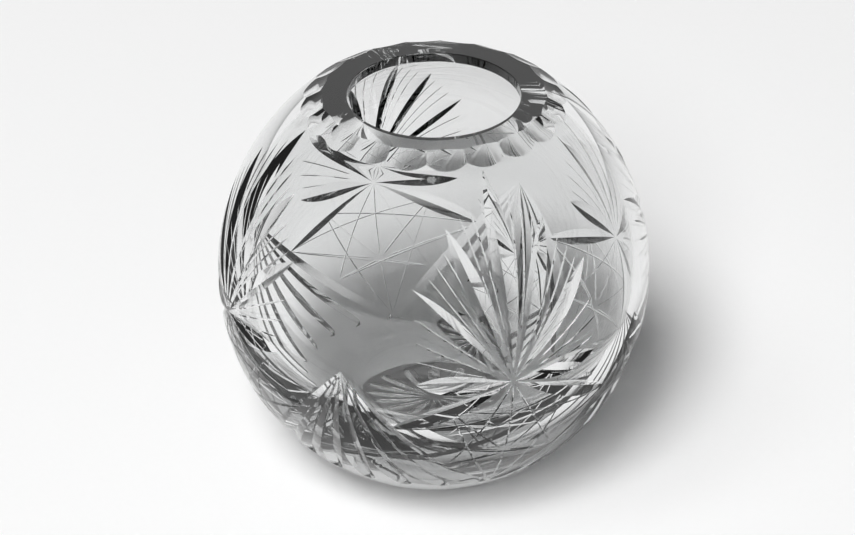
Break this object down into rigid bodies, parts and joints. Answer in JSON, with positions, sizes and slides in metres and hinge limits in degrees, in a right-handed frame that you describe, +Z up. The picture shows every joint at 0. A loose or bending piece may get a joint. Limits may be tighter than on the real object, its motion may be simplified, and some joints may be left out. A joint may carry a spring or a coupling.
{
  "type": "rose bowl vase",
  "caption": "Globe-shaped clear cut-glass rose bowl with a narrow round mouth, scalloped flat rim, leaf-fan and ray cuts on the outside, and a star-cut flat base.",
  "frame": {"origin": "centre of the flat base, on the surface that the bowl stands on", "axes": "+Z up the bowl's axis through the mouth, -Y towards the viewer of the picture, +X to the viewer's right"},
  "size_m": [0.15, 0.1499, 0.1415],
  "materials": {
    "clear_glass": "polished cut crystal"
  },
  "bodies": {
    "root": {"crystal_bowl": "clear_glass"}
  },
  "joints": []
}
